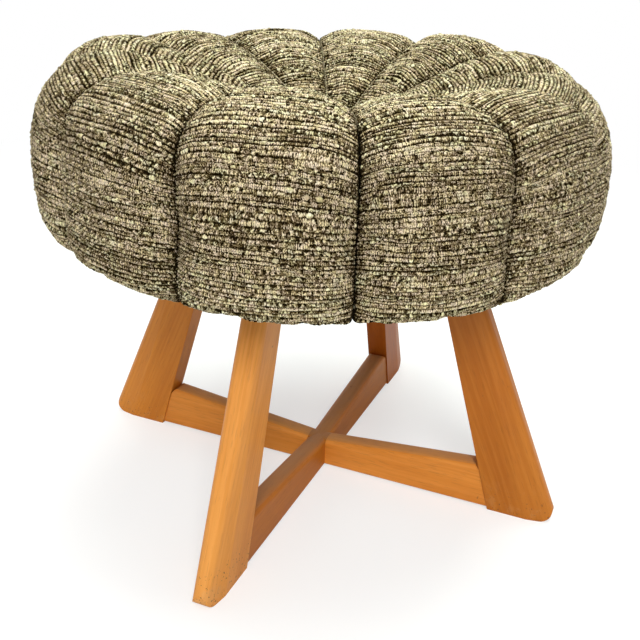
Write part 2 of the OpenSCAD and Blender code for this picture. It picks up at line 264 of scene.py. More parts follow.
floor_shape = bmesh.new()
bmesh.ops.create_grid(floor_shape, x_segments=1, y_segments=1, size=floor_reach)
floor = as_piece(floor_shape, "floor")
paper = Finish("floor_paper")
seen = paper.node("LightPath", output="Is Camera Ray")
ground = paper.place()
away = paper.node("VectorMath", {"operation": "LENGTH"}, {0: ground}, output=1).over(fade_start, fade_end)
plain = paper.node("BsdfDiffuse", sockets={"Color": floor_colour})
dim = paper.node("BsdfDiffuse", sockets={"Color": floor_shown})
glow = paper.node("Emission", sockets={"Color": white, "Strength": floor_glow})
pale = paper.node("AddShader", sockets={0: dim, 1: glow})
far = paper.node("Emission", sockets={"Color": white, "Strength": 1.0})
pale = paper.node("MixShader", sockets={0: away, 1: pale, 2: far})
shown = paper.node("MixShader", sockets={0: seen, 1: plain, 2: pale})
below = seen * paper.node("NewGeometry", output="Backfacing")
clear = paper.node("BsdfTransparent", sockets={"Color": white})
floor.data.materials.append(paper.output(paper.node("MixShader", sockets={0: below, 1: shown, 2: clear})))
floor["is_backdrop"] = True


def lamp(name, place, aim, size, watts, colour=(1.0, 1.0, 1.0)):
    """A square soft lamp at a place, facing a point."""
    light = bpy.data.lights.new(name, "AREA")
    light.color = colour
    light.size = size
    light.energy = watts
    holder = bpy.data.objects.new(name, light)
    bpy.context.scene.collection.objects.link(holder)
    holder.location = place
    holder.rotation_mode = "QUATERNION"
    holder.rotation_quaternion = (Vector(aim) - Vector(place)).to_track_quat("-Z", "Y")


lamp("front_lamp", (1.05, -2.2, 2.2), (0, 0, 0.2), 1.1, 60)
lamp("left_lamp", (-2.4, -1.2, 1.6), (0, 0, 0.25), 1.4, 6)
lamp("top_lamp", (0.0, 0.5, 2.6), (0, 0, 0.4), 1.6, 66, (0.92, 1.0, 0.95))


# Legs. Each is sawn from one inch birch, wide at the floor, bevelled down to a rounded outer edge
# and lacquered. The grain runs along the leg. The toes are scuffed and pitted. Painted shade darkens the
# tops.
honey = (0.56, 0.180, 0.020, 1.0)
honey_pale = (0.68, 0.25, 0.040, 1.0)
honey_deep = (0.46, 0.130, 0.012, 1.0)
pore_brown = (0.26, 0.085, 0.015, 1.0)
upward_grey = (0.30, 0.20, 0.115, 1.0)
painted_seat_shade = (0.20, 0.070, 0.010, 1.0)
scuffed_pale = (0.62, 0.38, 0.18, 1.0)
pit_brown = (0.15, 0.060, 0.02, 1.0)
toe_reach, shoulder_reach, leg_height = 0.276, 0.1489, 0.287
leg_lean = math.atan((toe_reach - shoulder_reach) / leg_height)
scuff_height = 0.050
shade_low, shade_high = 0.225, 0.300
worn_edge = 0.0012


def toned(colour, tone):
    """A colour with its red, green and blue each taken by its own share."""
    return tuple(part * share for part, share in zip(colour, (*tone, 1.0)))


def wood(name, turn, lean, tone=(1.0, 1.0, 1.0), wear=0.0):
    """Lacquered birch. The grain runs up, leans outwards and is turned about the middle of the stool. Its
    tone brightens or darkens the grain's colours as painted light and shade.
    """
    f = Finish(name)
    place = f.place()
    grain = f.turned(f.turned(place, (0, 0, turn)), (0, -lean, 0))
    figure = f.noise(f.stretched(grain, (22, 22, 3.2)), 1.0, detail=4.0, roughness=0.6)
    streak = f.noise(f.stretched(grain, (240, 240, 6.0)), 1.0, detail=3.0, roughness=0.6)
    pore = f.noise(f.stretched(grain, (1100, 1100, 60)), 1.0, detail=1.0)
    colour = f.blend(figure.over(0.30, 0.70), toned(honey_deep, tone), toned(honey, tone))
    colour = f.blend(streak.over(0.35, 0.75) * 0.35, colour, toned(honey_pale, tone))
    colour = f.blend(pore.over(0.58, 0.70) * 0.30, colour, toned(pore_brown, tone))
    height = f.axis(place, 2)
    low = (1.0 - height.over(0.0, scuff_height)) * wear
    speck = f.noise(place, 380.0, detail=2.0)
    rub = f.noise(place, 60.0, detail=4.0, roughness=0.7)
    nick = f.noise(place, 130.0, detail=1.0)
    scuff = low * rub.over(0.5, 0.62)
    pits = (speck + low * 0.04).over(0.66, 0.70) * low.over(0.05, 0.5)
    pits = pits.most(nick.over(0.79, 0.83) * 0.6)
    top = f.axis(f.node("NewGeometry", output="Normal"), 2).over(0.80, 0.96)
    # Faces that point up are greyer and duller, in patches.
    colour = f.blend(top * (0.25 + 0.35 * rub), colour, upward_grey)
    # Painted shade: the tops of the legs darken under the seat.
    colour = f.blend(height.over(shade_low, shade_high) * 0.45, colour, painted_seat_shade)
    colour = f.blend(scuff * 0.25, colour, scuffed_pale)
    colour = f.blend(pits * 0.8, colour, pit_brown)
    rough = 0.36 + 0.10 * streak + 0.25 * scuff + 0.2 * top
    depth = streak * 0.25 + pore * 0.2 - pits * 1.2
    edge = f.node("Bevel", {"samples": 4}, {"Radius": worn_edge})
    lacquer = {"Specular IOR Level": 0.18, "Coat Weight": 0.06, "Coat Roughness": 0.25}
    return f.surface(colour, rough, f.bump(0.25, 0.0006, depth, edge), lacquer)


def dress(name, finish):
    """Gives a CAD node its finish."""
    mesh = nodes[name].data
    mesh.materials.clear()
    mesh.materials.append(finish)


# The tones are painted light and shade: each brightens or darkens one leg's wood for how it is lit.
leg_looks = {
    "leg_right": (0, (0.84, 0.84, 0.70), 0.5),
    "leg_back": (90, (0.74, 0.58, 0.35), 0.3),
    "leg_left": (180, (1.05, 1.12, 0.92), 0.5),
    "leg_front": (270, (1.26, 1.58, 2.6), 1.0),
}
for name, (turn, tone, wear) in leg_looks.items():
    dress(name, wood(name + "_birch", math.radians(turn), leg_lean, tone, wear))


# Stretchers. Two birch rails, half-lapped where they cross and dowelled to the legs. Their crowned
# tops are greyer and duller than their sides.
lying = math.pi / 2
# The tones are painted light and shade: each brightens or darkens one stretcher's wood for how it is lit.
stretcher_looks = {"stretcher_under": (0, (1.26, 1.42, 1.8)), "stretcher_over": (90, (0.84, 0.83, 0.68))}
for name, (turn, tone) in stretcher_looks.items():
    dress(name, wood(name + "_birch", math.radians(turn), lying, tone))


# Seat rails, dowels and screws, and the steel and plywood under the seat. The rails tie the tops of
# the legs, and the screws hold the seat on.
rail_brown = (0.50, 0.27, 0.10, 1.0)
beech = (0.62, 0.42, 0.23, 1.0)
birch_ply = (0.60, 0.42, 0.24, 1.0)
plain_steel = (0.42, 0.41, 0.40, 1.0)
steel_stain = (0.20, 0.12, 0.07, 1.0)


def plain_wood(name, colour, turn=0.0):
    """Planed wood without lacquer. The grain lies flat and is turned about the middle of the stool."""
    f = Finish(name)
    place = f.place()
    grain = f.turned(place, (0, 0, turn))
    streak = f.noise(f.stretched(grain, (5, 160, 160)), 1.0, detail=4.0, roughness=0.65)
    dark = tuple(0.55 * c for c in colour[:3]) + (1.0,)
    shade = f.blend(streak.over(0.3, 0.7), dark, colour)
    return f.surface(shade, 0.6 + 0.15 * streak, f.bump(0.3, 0.0004, streak))


def steel(name, colour, rough):
    """Plain steel with brown stains."""
    f = Finish(name)
    place = f.place()
    grain = f.noise(place, 900.0, detail=3.0)
    stain = f.noise(place, 120.0, detail=3.0)
    shade = f.blend(stain.over(0.5, 0.75) * 0.5, colour, steel_stain)
    return f.surface(shade, rough + 0.2 * stain, f.bump(0.2, 0.0002, grain), {"Metallic": 1.0})


dress("seat_rail_under", plain_wood("rail_under_wood", rail_brown))
dress("seat_rail_over", plain_wood("rail_over_wood", rail_brown, math.pi / 2))
dowel_wood = plain_wood("dowel_beech", beech)
dress("stretcher_dowels", dowel_wood)
dress("seat_rail_dowels", dowel_wood)
tack_steel = steel("tack_steel", plain_steel, 0.35)
for name in ("seat_screws", "dust_cover_tacks", "hem_tacks", "twine_washer", "button_back"):
    dress(name, tack_steel)
dress("seat_board", plain_wood("board_plywood", birch_ply))


# Dust cover. A disc of thin black cotton is tacked flat under the board and clamped by the rails.
# It hangs a little between its tacks, away from the rails.
def round_size(name):
    """Radius, foot and top of a round CAD node, to a hundredth of a millimetre."""
    (_, _, foot), (radius, _, top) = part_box(name)
    return round(radius, 5), round(foot, 5), round(top, 5)


dust_radius, dust_low, dust_high = round_size("dust_cover")
dust_cell, dust_sides = 0.006, 160
dust_skin = 0.00001
dust_slack = 0.0014
dust_tack_count = 20
rail_half = 0.014
slack_reach = 0.03
cotton_black = (0.020, 0.019, 0.018, 1.0)
cotton_worn = (0.065, 0.060, 0.054, 1.0)
lint_grey = (0.22, 0.21, 0.19, 1.0)
cotton_thread = 0.0011


def spun(outline, steps):
    """A shape spun round the middle of the stool from the radii and heights of its closed outline."""
    shape = bmesh.new()
    corners = [shape.verts.new((radius, 0, height)) for radius, height in outline]
    edges = [shape.edges.new(pair) for pair in zip(corners, corners[1:] + corners[:1])]
    whole_turn = {"cent": (0, 0, 0), "axis": (0, 0, 1), "angle": 2 * math.pi, "use_merge": True}
    bmesh.ops.spin(shape, geom=corners + edges, steps=steps, **whole_turn)
    bmesh.ops.remove_doubles(shape, verts=shape.verts, dist=1e-6)
    bmesh.ops.recalc_face_normals(shape, faces=shape.faces)
    return shape


def divided(outline, length):
    """The same closed outline with its sides cut to pieces no longer than length."""
    points = []
    for first, second in zip(outline, outline[1:] + outline[:1]):
        cuts = max(1, math.ceil(math.dist(first, second) / length))
        for n in range(cuts):
            points.append(tuple(a + (b - a) * n / cuts for a, b in zip(first, second)))
    return points


def black_cotton(name):
    """Thin plain-woven cotton, faded in patches, with lint on it."""
    f = Finish(name)
    place = f.place()
    across, down = f.axis(place, 0) / cotton_thread, f.axis(place, 1) / cotton_thread
    lint = f.noise(place, 240.0, detail=4.0, roughness=0.7)
    faded = f.noise(place, 14.0, detail=3.0)
    colour = f.blend(faded.over(0.4, 0.7) * 0.6, cotton_black, cotton_worn)
    colour = f.blend(lint.over(0.66, 0.74) * 0.5, colour, lint_grey)
    thread = (1.0 - across.fraction().distance(0.5)) + (1.0 - down.fraction().distance(0.5))
    return f.surface(colour, 0.88 + 0.1 * lint, f.bump(0.5, 0.0004, thread))


low, high = dust_low + dust_skin, dust_high - dust_skin
outline = [(0, low), (dust_radius, low), (dust_radius, high), (0, high)]
shape = spun(divided(outline, dust_cell), dust_sides)
for vert in shape.verts:
    x, y, z = vert.co
    off_rails = min(abs(x), abs(y)) - rail_half
    free = min(max(off_rails / slack_reach, 0), 1) * min((dust_radius - math.hypot(x, y)) / slack_reach, 1)
    crease = 0.5 + 0.5 * math.cos(dust_tack_count * math.atan2(y, x))
    vert.co.z = z - dust_slack * free * (0.6 + 0.4 * crease)
dust_cover = as_piece(shape, "dust_cover_cloth")
dust_cover.data.materials.append(black_cotton("dust_cotton"))
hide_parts("dust_cover")
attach(dust_cover, "root")


# Padding core. A low dome of cotton wadding lies on the board inside the channels, teased out at its
# foot, with a hole through it for the twine.
core_foot, core_low, core_high = round_size("padding_core")
core_crown = 0.060
core_hole = 0.00275
core_cell, core_sides = 0.005, 120
tuft_depth, tuft_start = 0.0008, 0.01
wadding_shade = (0.50, 0.46, 0.38, 1.0)
wadding_cream = (0.78, 0.75, 0.68, 1.0)
seed_brown = (0.20, 0.15, 0.10, 1.0)


def wadding(name):
    """Cotton wadding: teased strands with bits of seed husk among them."""
    f = Finish(name)
    place = f.place()
    strand = f.noise(f.stretched(place, (90, 300, 300)), 1.0, detail=5.0, roughness=0.7)
    husks = f.noise(place, 260.0, detail=2.0)
    colour = f.blend(strand, wadding_shade, wadding_cream)
    colour = f.blend(husks.over(0.68, 0.74) * 0.7, colour, seed_brown)
    return f.surface(colour, 0.97, f.bump(0.8, 0.0015, strand))


outline = [(core_hole, core_low), (core_foot, core_low), (core_crown, core_high), (core_hole, core_high)]
shape = spun(divided(outline, core_cell), core_sides)
for vert in shape.verts:
    x, y, z = vert.co
    tuft = math.sin(x * 230 + math.sin(y * 170)) * math.sin(y * 260 + math.sin(x * 190))
    if z > core_low + 0.001 and math.hypot(x, y) > tuft_start:
        vert.co.z = z - tuft_depth * (1 + tuft)
core = as_piece(shape, "core_wadding")
core.data.materials.append(wadding("cotton_wadding"))
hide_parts("padding_core")
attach(core, "root")


# Channels. Twelve tubes of ribbed boucle tweed are sewn side by side and stuffed. They are drawn in
# under a button in the middle and turned under the edge of the board. The cloth's rows run across them.
# Bearings and spans are in degrees
first_seam = -126
channel_spans = [32, 31.5, 29, 29, 34, 26, 30.5, 31, 31, 32, 26, 28]
channel_swells = [-0.001, 0.001, -0.001, -0.004, -0.0065, 0, 0.004, -0.001, -0.003, -0.004, 0.002, 0.002]
channel_shoulders = [0, 0, 0, 0, 0, 0, 0, 0, 0, 0.004, 0.004, 0]
first_seed, seed_step = 101, 13

# The crest of a channel runs in four stages: up from the button, over to the side, in below it, and
# on to the board. Depths, slacks and sags are given against the stage
stages = 4
pinch_radius = 0.0108
button_seat_radius = 0.0165
pinch_height = 0.3668
crest_radius = 0.199
crest_height = 0.4498
belly_radius = 0.275
belly_height = 0.3548
roll_radius = 0.247
roll_height = 0.2868
upper_power = 2.4
lower_power = 2.3
ramp_power = 1.4
seam_depths = {0: 0.0, 0.3: 0.005, 0.6: 0.010, 1: 0.0155, 1.5: 0.013, 2: 0.028, 2.9: 0.004, 4: 0.0}
start_slacks = {0: 0.0025, 1.2: 0.0030, 2: 0.0055, 2.5: 0.0035, 3: 0.0022, 3.5: 0.0030, 4: 0.0055}
row_sags = {0: 0.0, 0.9: 0.0, 1.5: 0.008, 2.2: 0.008, 2.8: 0.0, 4: 0.0}
shoulder_stage, shoulder_spread = 1.4, 0.6

# What the channels lie on, and the room left round it
board_radius, _, board_high = round_size("seat_board")
cloth_gap = 0.0006
edge_gap = 0.0005
board_edge = board_radius + edge_gap
board_top = board_high + cloth_gap
core_top = core_high + cloth_gap
inner_foot = 0.305
corner_gap = 0.0016
corner_depth = 0.006

# The cloth, its seams and its filling
stage_steps, crest_steps, arch_steps = 200, 1200, 121
row_pitch = 0.0039
row_widths, row_shares = [0.72, 1.0, 1.3], [0.3, 0.4, 0.3]
across_steps = 30
wall_steps = 3
end_rows = 4
seam_gap = 0.0003
seam_strip = 0.005
seam_hold = 0.004
seam_ease = 0.016
fill_frames = 20
fill_reach = 0.005
yarn_lift = 0.0007
knots_in_channel = 120
knot_small, knot_large = 0.0013, 0.0023
pleat_height, pleat_count, pleat_reach = 0.0022, 36, 0.07
ridge_height, ridge_width = 0.0016, 0.0024
ridge_end, ridge_fade = 1.25, 0.4
seam_shade_width = 0.014
relief_rows, button_shade_rows, seam_mark_rows = 3, 5, 8
panel_spacing = 0.5

Channel = namedtuple("Channel", "number start span swell shoulder seed")


def crest_profile():
    """Radius, height, slope, seam depth and inner line of a channel, against the length of its crest."""
    t = np.linspace(0, 1, stage_steps)[1:]
    rise = np.sin(t * math.pi / 2)
    fall = np.abs(np.cos(t * math.pi / 2))
    slope_r = crest_radius - (crest_radius - button_seat_radius) * fall ** (2 / ramp_power)
    slope_z = pinch_height + (crest_height - pinch_height) * rise ** (2 / ramp_power)
    upper_r = crest_radius + (belly_radius - crest_radius) * rise ** (2 / upper_power)
    upper_z = belly_height + (crest_height - belly_height) * fall ** (2 / upper_power)
    lower_r = roll_radius + (belly_radius - roll_radius) * fall ** (2 / lower_power)
    lower_z = belly_height + (roll_height - belly_height) * rise ** (2 / lower_power)
    under_r = roll_radius + (board_edge - roll_radius) * t
    r = np.concatenate([[pinch_radius], slope_r, upper_r, lower_r, under_r])
    z = np.concatenate([[pinch_height], slope_z, upper_z, lower_z, np.full_like(t, roll_height)])
    stage = np.concatenate([[0], t, 1 + t, 2 + t, 3 + t])
    length = np.concatenate([[0], np.cumsum(np.hypot(np.diff(r), np.diff(z)))])
    even = np.linspace(0, length[-1], crest_steps)
    line = {"length": even, "stage": np.interp(even, length, stage)}
    line["r"], line["z"] = np.interp(even, length, r), np.interp(even, length, z)
    turn = np.stack([np.gradient(line["r"]), np.gradient(line["z"])])
    turn = turn / np.linalg.norm(turn, axis=0)
    line["normal_r"], line["normal_z"] = -turn[1], turn[0]
    for name, values in {"depth": seam_depths, "slack": start_slacks, "sag": row_sags}.items():
        line[name] = np.interp(line["stage"], list(values), list(values.values()))
    inner_r = [pinch_radius - edge_gap] + [r + cloth_gap for r in (core_crown, core_foot, board_radius)]
    inner_z = [core_top, core_top, board_top, board_top, inner_foot]
    line["inner_r"] = np.interp(line["stage"], range(stages), inner_r)
    line["inner_z"] = np.interp(line["stage"], range(stages + 1), inner_z)
    return line


crest = crest_profile()
crest_length = crest["length"][-1]
cloth_rows = round(crest_length / row_pitch)


def along(name, length):
    """A value of the crest at a length along it."""
    return np.interp(length, crest["length"], crest[name])


def smooth_noise(x, y, seed):
    """Even noise from -1 to 1, with a new value at each whole x and y."""
    cell_x, cell_y = np.floor(x), np.floor(y)
    part_x, part_y = x - cell_x, y - cell_y
    part_x = part_x * part_x * (3 - 2 * part_x)
    part_y = part_y * part_y * (3 - 2 * part_y)

    def corner(dx, dy):
        wave = np.sin((cell_x + dx) * 127.1 + (cell_y + dy) * 311.7 + seed * 74.7) * 43758.5453
        return 2 * (wave - np.floor(wave)) - 1

    low = corner(0, 0) * (1 - part_x) + corner(1, 0) * part_x
    high = corner(0, 1) * (1 - part_x) + corner(1, 1) * part_x
    return low * (1 - part_y) + high * part_y


def half_width(length, span):
    """Half the width of a channel's cloth, measured over its swell."""
    a = along("r", length) * math.radians(span) / 2
    b = along("depth", length)
    return math.pi / 4 * (3 * (a + b) - np.sqrt((3 * a + b) * (a + 3 * b)))


def row_lengths(seed):
    """Where each row of the cloth starts along the crest. Rows are narrow or wide by turns."""
    widths = np.random.default_rng(seed).choice(row_widths, size=cloth_rows, p=row_shares)
    starts = np.concatenate([[0], np.cumsum(widths)])
    return starts / starts[-1] * crest_length


def row_arch(channel, middle, share):
    """The width of the cloth in one row of a channel, and how far across and down its points lie."""
    lean = np.linspace(-math.pi / 2, math.pi / 2, arch_steps)
    a, b = along("r", middle) * math.radians(channel.span) / 2, along("depth", middle)
    steps = np.hypot(a * np.cos(lean), b * np.sin(lean))
    sweep = np.concatenate([[0], np.cumsum((steps[1:] + steps[:-1]) / 2)]) * (lean[1] - lean[0])
    turn = np.interp(share * sweep[-1], sweep, lean)
    return sweep[-1], np.sin(turn), 1 - np.cos(turn)


def channel_grid(channel):
    """Places and cloth lengths of one channel's points, as rows along it and columns round it."""
    start, span, seed = channel.start, channel.span, channel.seed
    rows, columns = cloth_rows + 1, across_steps + 1 + 2 * wall_steps
    place = np.zeros((rows, columns, 3))
    cloth = np.zeros((rows, columns, 2))
    share = np.linspace(0, 1, across_steps + 1)
    x = np.linspace(-1, 1, across_steps + 1)
    outer = slice(wall_steps, wall_steps + across_steps + 1)
    row_starts = row_lengths(seed)
    for j in range(rows):
        ends = min(j, cloth_rows - j, end_rows) / end_rows
        wobble = 0.45 * smooth_noise(x * 1.3 + 7, np.full_like(x, j / 7), seed)
        wobble = wobble + 0.22 * smooth_noise(x * 4, np.full_like(x, j / 2.5), seed + 50)
        middle = row_starts[j]
        length = middle + row_pitch * wobble * ends + along("sag", middle) * np.abs(x) ** 3
        width, u, arch = row_arch(channel, middle, share)
        stage = along("stage", length)
        bump = np.clip(1 - np.abs(stage - shoulder_stage) / shoulder_spread, 0, 1)
        swollen = channel.swell * (1 - arch) * np.minimum(stage, 1) * np.minimum(stages - stage, 1)
        swollen = swollen + channel.shoulder * (1 - arch) * bump
        drop = along("depth", length) * arch - swollen + along("slack", middle) * (1 - arch) * ends
        radius = along("r", length) - along("normal_r", length) * drop
        height = along("z", length) - along("normal_z", length) * drop
        bearing = np.radians(start + span * (u + 1) / 2)
        gap = u * seam_gap / 2
        place[j, outer, 0] = radius * np.cos(bearing) + gap * np.sin(bearing)
        place[j, outer, 1] = radius * np.sin(bearing) - gap * np.cos(bearing)
        place[j, outer, 2] = height
        cloth[j, :, 1] = row_pitch * j
        cloth[j, outer, 0] = share * width - width / 2
        for side, edge in ((-1, wall_steps), (1, wall_steps + across_steps)):
            inner_r, inner_z = along("inner_r", middle), along("inner_z", middle)
            at_seam = math.radians(start + span * (side + 1) / 2)
            at_middle = math.radians(start + span / 2)
            inside = np.array([inner_r * math.cos(at_seam), inner_r * math.sin(at_seam), inner_z])
            heart = np.array([inner_r * math.cos(at_middle), inner_r * math.sin(at_middle), inner_z])
            across = place[j, edge]
            reach = np.linalg.norm(inside - across) + 1e-9
            place[j, edge + side] = across + (inside - across) * min(seam_strip / reach, 0.5)
            place[j, edge + 2 * side] = inside
            place[j, edge + 3 * side] = heart
            for n in range(1, wall_steps + 1):
                cloth[j, edge + n * side, 0] = cloth[j, edge, 0] + side * seam_strip * n
    return place, cloth


def channel_piece(name, place, cloth):
    """The closed tube of one channel, with its cloth lengths as a UV map."""
    rows, columns = place.shape[0] - 1, place.shape[1] - 1
    shape = bmesh.new()
    bmesh.ops.create_grid(shape, x_segments=columns, y_segments=rows, size=1)
    weave = shape.loops.layers.uv.new("weave")
    spot = {}
    for vert in shape.verts:
        spot[vert] = (round((vert.co.y + 1) / 2 * rows), round((vert.co.x + 1) / 2 * columns))
    for face in shape.faces:
        for loop in face.loops:
            loop[weave].uv = cloth[spot[loop.vert]]
    for vert, (j, i) in spot.items():
        vert.co = place[j, i]
    bmesh.ops.remove_doubles(shape, verts=shape.verts, dist=1e-6)
    bmesh.ops.holes_fill(shape, edges=[edge for edge in shape.edges if edge.is_boundary], sides=0)
    bmesh.ops.recalc_face_normals(shape, faces=shape.faces)
    return as_piece(shape, name)


def points_of(mesh):
    """The places of a mesh's vertices."""
    co = np.empty(len(mesh.vertices) * 3)
    mesh.vertices.foreach_get("co", co)
    return co.reshape(-1, 3)


def round_middle(points):
    """How far each point lies from the middle of the stool, and its bearing."""
    return np.hypot(points[:, 0], points[:, 1]), np.arctan2(points[:, 1], points[:, 0])


def corners_of(mesh):
    """The vertex at each corner of a mesh's faces."""
    corners = np.empty(len(mesh.loops), dtype=int)
    mesh.loops.foreach_get("vertex_index", corners)
    return corners


def cloth_of(mesh):
    """The cloth lengths at each vertex of a mesh."""
    uv = np.empty(len(mesh.loops) * 2)
    mesh.uv_layers["weave"].uv.foreach_get("vector", uv)
    cloth = np.zeros((len(mesh.vertices), 2))
    cloth[corners_of(mesh)] = uv.reshape(-1, 2)
    return cloth


def crest_length_of(cloth, channel):
    """The length along the crest of each point of the cloth, by its row."""
    return np.interp(cloth[:, 1] / row_pitch, np.arange(cloth_rows + 1), row_lengths(channel.seed))


def inset_of(cloth, channel):
    """How far in from the nearer seam each point of the cloth is. It is negative inside the channel."""
    return half_width(crest_length_of(cloth, channel), channel.span) - np.abs(cloth[:, 0])


def between_seams(points, channel):
    """Keeps a channel's points on their own side of the seams, where they press on the next channel."""
    middle = math.radians(channel.start + channel.span / 2)
    radius, bearing = round_middle(points)
    turn = (bearing - middle + math.pi) % (2 * math.pi) - math.pi
    limit = math.radians(channel.span / 2) - seam_gap / 2 / radius
    turn = np.clip(turn, -limit, limit) + middle
    return np.stack([radius * np.cos(turn), radius * np.sin(turn), points[:, 2]], axis=1)


def stuff(pieces):
    """Fills the channels: their cloth is blown up against the seams, which hold it, and is kept so."""
    for piece, channel in pieces.items():
        cloth = cloth_of(piece.data)
        inset = inset_of(cloth, channel)
        held = piece.vertex_groups.new(name="seams")
        row = cloth[:, 1] / row_pitch
        ends = (row < end_rows) | (row > cloth_rows - end_rows + 1)
        held.add([int(v) for v in np.nonzero((inset < seam_hold) | ends)[0]], 1.0, "REPLACE")
        filling = piece.modifiers.new("filling", "CLOTH")
        filling.settings.quality = 5
        filling.settings.mass = 0.3
        filling.settings.tension_stiffness = 12
        filling.settings.compression_stiffness = 12
        filling.settings.shear_stiffness = 4
        filling.settings.bending_stiffness = 0.4
        filling.settings.use_pressure = True
        filling.settings.uniform_pressure_force = 4
        filling.settings.shrink_min = -0.035
        filling.settings.vertex_group_mass = "seams"
        filling.settings.effector_weights.gravity = 0
        filling.collision_settings.use_collision = False
        filling.point_cache.frame_start = 1
        filling.point_cache.frame_end = fill_frames
    for frame_number in range(1, fill_frames + 1):
        bpy.context.scene.frame_set(frame_number)
    depsgraph = bpy.context.evaluated_depsgraph_get()
    for piece, channel in pieces.items():
        before = points_of(piece.data)
        after = points_of(piece.evaluated_get(depsgraph).data)
        move = after - before
        reach = np.linalg.norm(move, axis=1, keepdims=True)
        move = move * np.minimum(1, fill_reach / np.maximum(reach, 1e-9))
        inset = inset_of(cloth_of(piece.data), channel)
        move = move * np.clip((inset - seam_hold) / seam_ease, 0, 1)[:, None]
        piece.modifiers.clear()
        piece.vertex_groups.clear()
        piece.data.vertices.foreach_set("co", between_seams(before + move, channel).ravel())
        piece.data.update()
    bpy.context.scene.frame_set(1)


def lay_cloth(mesh, weave, cloth):
    """Keeps the cloth lengths at each vertex in a UV map, which the cloth's material reads."""
    weave.uv.foreach_set("vector", cloth[corners_of(mesh)].astype(np.float32).ravel())


def set_attribute(mesh, name, values):
    """Keeps a value for each vertex, which the cloth's material reads by its name."""
    mesh.attributes.new(name, "FLOAT", "POINT").data.foreach_set("value", values.astype(np.float32))


def clear_of_board(points):
    """Moves the points that reach into the seat board or the hem out of its edge, or up off its top."""
    radius, _ = round_middle(points)
    wall = board_edge + corner_gap * np.clip((points[:, 2] - roll_height) / (board_top - roll_height), 0, 1)
    lid = board_top + corner_gap
    inside = (radius < wall) & (points[:, 2] < lid)

    # A point by the corner moves away from a place inside the board, so that the cloth bends round it
    anchor_r, anchor_z = wall - corner_depth, lid - corner_depth
    along_r, along_z = radius - anchor_r, points[:, 2] - anchor_z
    reach = np.maximum(np.maximum(along_r, along_z), 1e-6)
    moved_r = np.where(along_r > 0, anchor_r + along_r * corner_depth / reach, radius)
    moved_z = np.where(along_z > 0, anchor_z + along_z * corner_depth / reach, points[:, 2])
    moved_z = np.where((along_r <= 0) & (along_z <= 0), lid, moved_z)
    points[inside, :2] *= (moved_r[inside] / radius[inside])[:, None]
    points[inside, 2] = moved_z[inside]
    return points


def threads_of(piece):
    """Divides a channel's mesh until its rows of yarn can be raised."""
    divide = piece.modifiers.new("threads", "SUBSURF")
    divide.levels = divide.render_levels = 2
    divide.uv_smooth = "NONE"
    depsgraph = bpy.context.evaluated_depsgraph_get()
    mesh = bpy.data.meshes.new_from_object(piece.evaluated_get(depsgraph))
    rough = piece.data
    piece.modifiers.clear()
    piece.data = mesh
    bpy.data.meshes.remove(rough)
    mesh.name = piece.name
    return mesh


def yarn(x, y, stage, seed, chance):
    """How high the yarn stands, and how much it is looped. Thick looped rows stand above thin cord."""
    row = np.floor(y + 1e-4)
    part = np.clip(y - row, 0, 1)
    loopy = 0.42 + 0.8 * smooth_noise(x * 26, row * 5.37, seed)
    loopy = loopy + 0.5 * smooth_noise(x * 70, row * 9.1, seed + 9)
    loopy = np.clip(loopy - 0.25 * np.clip(1.3 - stage, 0, 1), 0, 1)
    proud = 0.75 + 0.5 * chance.random(cloth_rows + 2)[np.clip(row, 0, cloth_rows).astype(int)]
    rib = np.interp(part, [0, 0.25, 0.5, 0.75, 1], [0, 1, 0.95, 0.35, 0])
    relief = rib * proud * yarn_lift * (1 + loopy)
    relief = relief + chance.uniform(-1, 1, len(x)) * (0.00012 + 0.0004 * loopy) * np.sqrt(rib)
    return relief, loopy


def slub_knots(x, y, span, chance):
    """How high the knots of slub yarn stand, where they are, and the tint of each."""
    relief, knot, tint = np.zeros((3, len(x)))
    widest = half_width(crest["length"], span).max()
    for _ in range(knots_in_channel):
        at_x, at_row = chance.uniform(-widest, widest), np.floor(chance.uniform(2, cloth_rows)) + 0.4
        size = chance.uniform(knot_small, knot_large)
        long = size * chance.uniform(1.0, 1.4)
        off = np.hypot((x - at_x) / long, (y - at_row) * row_pitch / size)
        blob = np.clip(1 - off * off, 0, 1)
        knot = np.maximum(knot, np.sqrt(blob))
        tint = np.where(blob > 0, chance.random(), tint)
        relief = relief + np.sqrt(blob) * size * 0.42
    return relief, knot, tint


def pleats(points, cloth, y, seed):
    """How high the pleats stand where the cloth is gathered under the button."""
    _, bearing = round_middle(points)
    gather = np.clip(1 - cloth[:, 1] / pleat_reach, 0, 1)
    return gather * pleat_height * np.cos(bearing * pleat_count + smooth_noise(y / 3, bearing * 2, seed))


